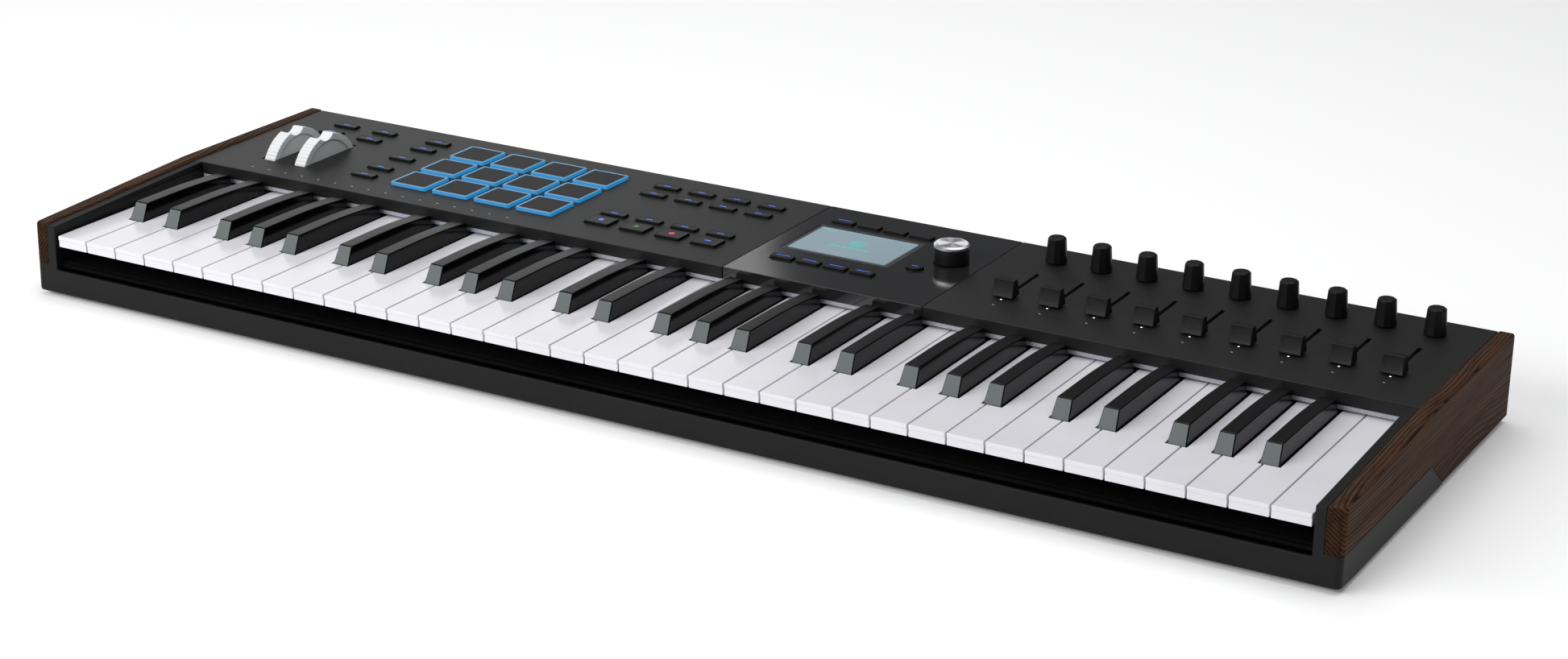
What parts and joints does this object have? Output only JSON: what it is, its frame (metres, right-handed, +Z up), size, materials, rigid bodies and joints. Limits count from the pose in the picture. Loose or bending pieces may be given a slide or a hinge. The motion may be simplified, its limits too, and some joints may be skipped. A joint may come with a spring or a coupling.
{
  "type": "keyboard synthesizer",
  "caption": "Controller keyboard synthesizer with wooden cheeks, sprung keys, drum pads, a display, rotary knobs, faders, buttons and two performance wheels.",
  "frame": {"origin": "centre of the footprint, on the surface the feet stand on", "axes": "+Z up, +Y to the back, +X to the treble end; the keys face -Y"},
  "size_m": [0.882, 0.286, 0.0718],
  "materials": {
    "case_plastic": "fine-textured moulding",
    "walnut": "oiled dark walnut",
    "panel_paint": "matte dark paint",
    "gloss_panel": "satin gloss",
    "keybed_steel": "plain",
    "spring_steel": "plain",
    "felt": "pressed felt",
    "circuit_board": "solder mask",
    "display_glass": "lit display",
    "control_metal": "plain",
    "inner_plastic": "plain",
    "light_frame": "lit translucent",
    "socket_plastic": "plain",
    "socket_metal": "plain",
    "foot_rubber": "matte",
    "screw_steel": "blackened",
    "white_key": "polished",
    "black_key": "polished",
    "pad_rubber": "matte silicone",
    "button_plastic": "satin",
    "dial_metal": "spun cap on a black body",
    "wheel_plastic": "satin",
    "knob_plastic": "satin",
    "fader_plastic": "satin"
  },
  "bodies": {
    "case": {"lower_case": "case_plastic", "wood_cheek_left": "walnut", "wood_cheek_right": "walnut", "panel_left": "panel_paint", "panel_centre": "gloss_panel", "panel_right": "panel_paint", "keybed_chassis": "keybed_steel", "key_springs": "spring_steel", "key_felts": "felt", "circuit_boards": "circuit_board", "display_module": "display_glass", "fader_bodies": "control_metal", "encoder_bodies": "control_metal", "wheel_bracket": "inner_plastic", "pad_light_frames": "light_frame", "din_sockets": "socket_plastic", "jack_sockets": "socket_plastic", "usb_socket": "socket_metal", "rubber_feet": "foot_rubber", "case_screws": "screw_steel"},
    "key_c": {"key_c": "white_key"},
    "key_d": {"key_d": "white_key"},
    "key_e": {"key_e": "white_key"},
    "key_f": {"key_f": "white_key"},
    "key_g": {"key_g": "white_key"},
    "key_a": {"key_a": "white_key"},
    "key_b": {"key_b": "white_key"},
    "key_c_sharp": {"key_c_sharp": "black_key"},
    "key_d_sharp": {"key_d_sharp": "black_key"},
    "key_f_sharp": {"key_f_sharp": "black_key"},
    "key_g_sharp": {"key_g_sharp": "black_key"},
    "key_a_sharp": {"key_a_sharp": "black_key"},
    "white_keys": {"white_keys": "white_key"},
    "black_keys": {"black_keys": "black_key"},
    "performance_buttons": {"performance_buttons": "button_plastic"},
    "studio_buttons": {"studio_buttons": "button_plastic"},
    "menu_buttons": {"menu_buttons": "button_plastic"},
    "pads": {"pads": "pad_rubber"},
    "knob_1": {"knob_1": "knob_plastic"},
    "knob_2": {"knob_2": "knob_plastic"},
    "knob_3": {"knob_3": "knob_plastic"},
    "knob_4": {"knob_4": "knob_plastic"},
    "knob_5": {"knob_5": "knob_plastic"},
    "knob_6": {"knob_6": "knob_plastic"},
    "knob_7": {"knob_7": "knob_plastic"},
    "knob_8": {"knob_8": "knob_plastic"},
    "knob_9": {"knob_9": "knob_plastic"},
    "fader_1": {"fader_1": "fader_plastic"},
    "fader_2": {"fader_2": "fader_plastic"},
    "fader_3": {"fader_3": "fader_plastic"},
    "fader_4": {"fader_4": "fader_plastic"},
    "fader_5": {"fader_5": "fader_plastic"},
    "fader_6": {"fader_6": "fader_plastic"},
    "fader_7": {"fader_7": "fader_plastic"},
    "fader_8": {"fader_8": "fader_plastic"},
    "fader_9": {"fader_9": "fader_plastic"},
    "encoder_shaft": {"encoder_shaft": "control_metal"},
    "encoder_knob": {"encoder_knob": "dial_metal"},
    "pitch_wheel": {"pitch_wheel": "wheel_plastic"},
    "mod_wheel": {"mod_wheel": "wheel_plastic"}
  },
  "joints": [
    {"name": "pitch_wheel_turn", "type": "hinge", "parent": "case", "child": "pitch_wheel", "pos_m": [-0.3895, 0.0588, 0.039], "axis": [1, 0, 0], "range_deg": [-40, 40], "stiffness_Nm_per_rad": 0.08},
    {"name": "mod_wheel_turn", "type": "hinge", "parent": "case", "child": "mod_wheel", "pos_m": [-0.3642, 0.0588, 0.039], "axis": [1, 0, 0], "range_deg": [-45, 45]},
    {"name": "encoder_push", "type": "slide", "parent": "case", "child": "encoder_shaft", "axis": [0, 0, -1], "range_m": [0, 0.0006], "stiffness_N_per_m": 900, "springref_m": -0.002},
    {"name": "encoder_turn", "type": "hinge", "parent": "encoder_shaft", "child": "encoder_knob", "pos_m": [0.101, 0.0843, 0.06], "axis": [0, 0, 1], "continuous": true},
    {"name": "performance_buttons_press", "type": "slide", "parent": "case", "child": "performance_buttons", "axis": [0, 0, -1], "range_m": [0, 0.0008], "stiffness_N_per_m": 2700, "springref_m": -0.002},
    {"name": "studio_buttons_press", "type": "slide", "parent": "case", "child": "studio_buttons", "axis": [0, 0, -1], "range_m": [0, 0.0008], "stiffness_N_per_m": 4800, "springref_m": -0.002},
    {"name": "menu_buttons_press", "type": "slide", "parent": "case", "child": "menu_buttons", "axis": [0, 0, -1], "range_m": [0, 0.0008], "stiffness_N_per_m": 2700, "springref_m": -0.002},
    {"name": "pads_press", "type": "slide", "parent": "case", "child": "pads", "axis": [0, 0, -1], "range_m": [0, 0.001], "stiffness_N_per_m": 9000, "springref_m": -0.002},
    {"name": "fader_1_slide", "type": "slide", "parent": "case", "child": "fader_1", "axis": [0, 1, 0.0071], "range_m": [0, 0.045]},
    {"name": "fader_9_slide", "type": "slide", "parent": "case", "child": "fader_9", "axis": [0, 1, 0.0071], "range_m": [0, 0.045]},
    {"name": "knob_1_turn", "type": "hinge", "parent": "case", "child": "knob_1", "pos_m": [0.157, 0.118, 0.06], "axis": [0, 0, 1], "continuous": true},
    {"name": "knob_9_turn", "type": "hinge", "parent": "case", "child": "knob_9", "pos_m": [0.4006, 0.118, 0.06], "axis": [0, 0, 1], "continuous": true},
    {"name": "white_keys_press", "type": "hinge", "parent": "case", "child": "white_keys", "pos_m": [0, 0.0168, 0.038], "axis": [1, 0, 0], "range_deg": [0, 3.6], "stiffness_Nm_per_rad": 29, "springref_deg": -6.88},
    {"name": "black_keys_press", "type": "hinge", "parent": "case", "child": "black_keys", "pos_m": [0, 0.0168, 0.038], "axis": [1, 0, 0], "range_deg": [0, 4.2], "stiffness_Nm_per_rad": 20, "springref_deg": -6.88},
    {"name": "key_c_press", "type": "hinge", "parent": "case", "child": "key_c", "pos_m": [0, 0.0168, 0.038], "axis": [1, 0, 0], "range_deg": [0, 3.6], "stiffness_Nm_per_rad": 1, "springref_deg": -6.88},
    {"name": "key_d_press", "type": "hinge", "parent": "case", "child": "key_d", "pos_m": [0, 0.0168, 0.038], "axis": [1, 0, 0], "range_deg": [0, 3.6], "stiffness_Nm_per_rad": 1, "springref_deg": -6.88},
    {"name": "key_e_press", "type": "hinge", "parent": "case", "child": "key_e", "pos_m": [0, 0.0168, 0.038], "axis": [1, 0, 0], "range_deg": [0, 3.6], "stiffness_Nm_per_rad": 1, "springref_deg": -6.88},
    {"name": "key_f_press", "type": "hinge", "parent": "case", "child": "key_f", "pos_m": [0, 0.0168, 0.038], "axis": [1, 0, 0], "range_deg": [0, 3.6], "stiffness_Nm_per_rad": 1, "springref_deg": -6.88},
    {"name": "key_g_press", "type": "hinge", "parent": "case", "child": "key_g", "pos_m": [0, 0.0168, 0.038], "axis": [1, 0, 0], "range_deg": [0, 3.6], "stiffness_Nm_per_rad": 1, "springref_deg": -6.88},
    {"name": "key_a_press", "type": "hinge", "parent": "case", "child": "key_a", "pos_m": [0, 0.0168, 0.038], "axis": [1, 0, 0], "range_deg": [0, 3.6], "stiffness_Nm_per_rad": 1, "springref_deg": -6.88},
    {"name": "key_b_press", "type": "hinge", "parent": "case", "child": "key_b", "pos_m": [0, 0.0168, 0.038], "axis": [1, 0, 0], "range_deg": [0, 3.6], "stiffness_Nm_per_rad": 1, "springref_deg": -6.88},
    {"name": "key_c_sharp_press", "type": "hinge", "parent": "case", "child": "key_c_sharp", "pos_m": [0, 0.0168, 0.038], "axis": [1, 0, 0], "range_deg": [0, 4.2], "stiffness_Nm_per_rad": 1, "springref_deg": -6.88},
    {"name": "key_d_sharp_press", "type": "hinge", "parent": "case", "child": "key_d_sharp", "pos_m": [0, 0.0168, 0.038], "axis": [1, 0, 0], "range_deg": [0, 4.2], "stiffness_Nm_per_rad": 1, "springref_deg": -6.88},
    {"name": "key_f_sharp_press", "type": "hinge", "parent": "case", "child": "key_f_sharp", "pos_m": [0, 0.0168, 0.038], "axis": [1, 0, 0], "range_deg": [0, 4.2], "stiffness_Nm_per_rad": 1, "springref_deg": -6.88},
    {"name": "key_g_sharp_press", "type": "hinge", "parent": "case", "child": "key_g_sharp", "pos_m": [0, 0.0168, 0.038], "axis": [1, 0, 0], "range_deg": [0, 4.2], "stiffness_Nm_per_rad": 1, "springref_deg": -6.88},
    {"name": "key_a_sharp_press", "type": "hinge", "parent": "case", "child": "key_a_sharp", "pos_m": [0, 0.0168, 0.038], "axis": [1, 0, 0], "range_deg": [0, 4.2], "stiffness_Nm_per_rad": 1, "springref_deg": -6.88},
    {"name": "fader_2_slide", "type": "slide", "parent": "case", "child": "fader_2", "axis": [0, 1, 0.0071], "range_m": [0, 0.045]},
    {"name": "fader_3_slide", "type": "slide", "parent": "case", "child": "fader_3", "axis": [0, 1, 0.0071], "range_m": [0, 0.045]},
    {"name": "fader_4_slide", "type": "slide", "parent": "case", "child": "fader_4", "axis": [0, 1, 0.0071], "range_m": [0, 0.045]},
    {"name": "fader_5_slide", "type": "slide", "parent": "case", "child": "fader_5", "axis": [0, 1, 0.0071], "range_m": [0, 0.045]},
    {"name": "fader_6_slide", "type": "slide", "parent": "case", "child": "fader_6", "axis": [0, 1, 0.0071], "range_m": [0, 0.045]},
    {"name": "fader_7_slide", "type": "slide", "parent": "case", "child": "fader_7", "axis": [0, 1, 0.0071], "range_m": [0, 0.045]},
    {"name": "fader_8_slide", "type": "slide", "parent": "case", "child": "fader_8", "axis": [0, 1, 0.0071], "range_m": [0, 0.045]},
    {"name": "knob_2_turn", "type": "hinge", "parent": "case", "child": "knob_2", "pos_m": [0.18745, 0.118, 0.06], "axis": [0, 0, 1], "continuous": true},
    {"name": "knob_3_turn", "type": "hinge", "parent": "case", "child": "knob_3", "pos_m": [0.2179, 0.118, 0.06], "axis": [0, 0, 1], "continuous": true},
    {"name": "knob_4_turn", "type": "hinge", "parent": "case", "child": "knob_4", "pos_m": [0.24835, 0.118, 0.06], "axis": [0, 0, 1], "continuous": true},
    {"name": "knob_5_turn", "type": "hinge", "parent": "case", "child": "knob_5", "pos_m": [0.2788, 0.118, 0.06], "axis": [0, 0, 1], "continuous": true},
    {"name": "knob_6_turn", "type": "hinge", "parent": "case", "child": "knob_6", "pos_m": [0.30925, 0.118, 0.06], "axis": [0, 0, 1], "continuous": true},
    {"name": "knob_7_turn", "type": "hinge", "parent": "case", "child": "knob_7", "pos_m": [0.3397, 0.118, 0.06], "axis": [0, 0, 1], "continuous": true},
    {"name": "knob_8_turn", "type": "hinge", "parent": "case", "child": "knob_8", "pos_m": [0.37015, 0.118, 0.06], "axis": [0, 0, 1], "continuous": true}
  ]
}
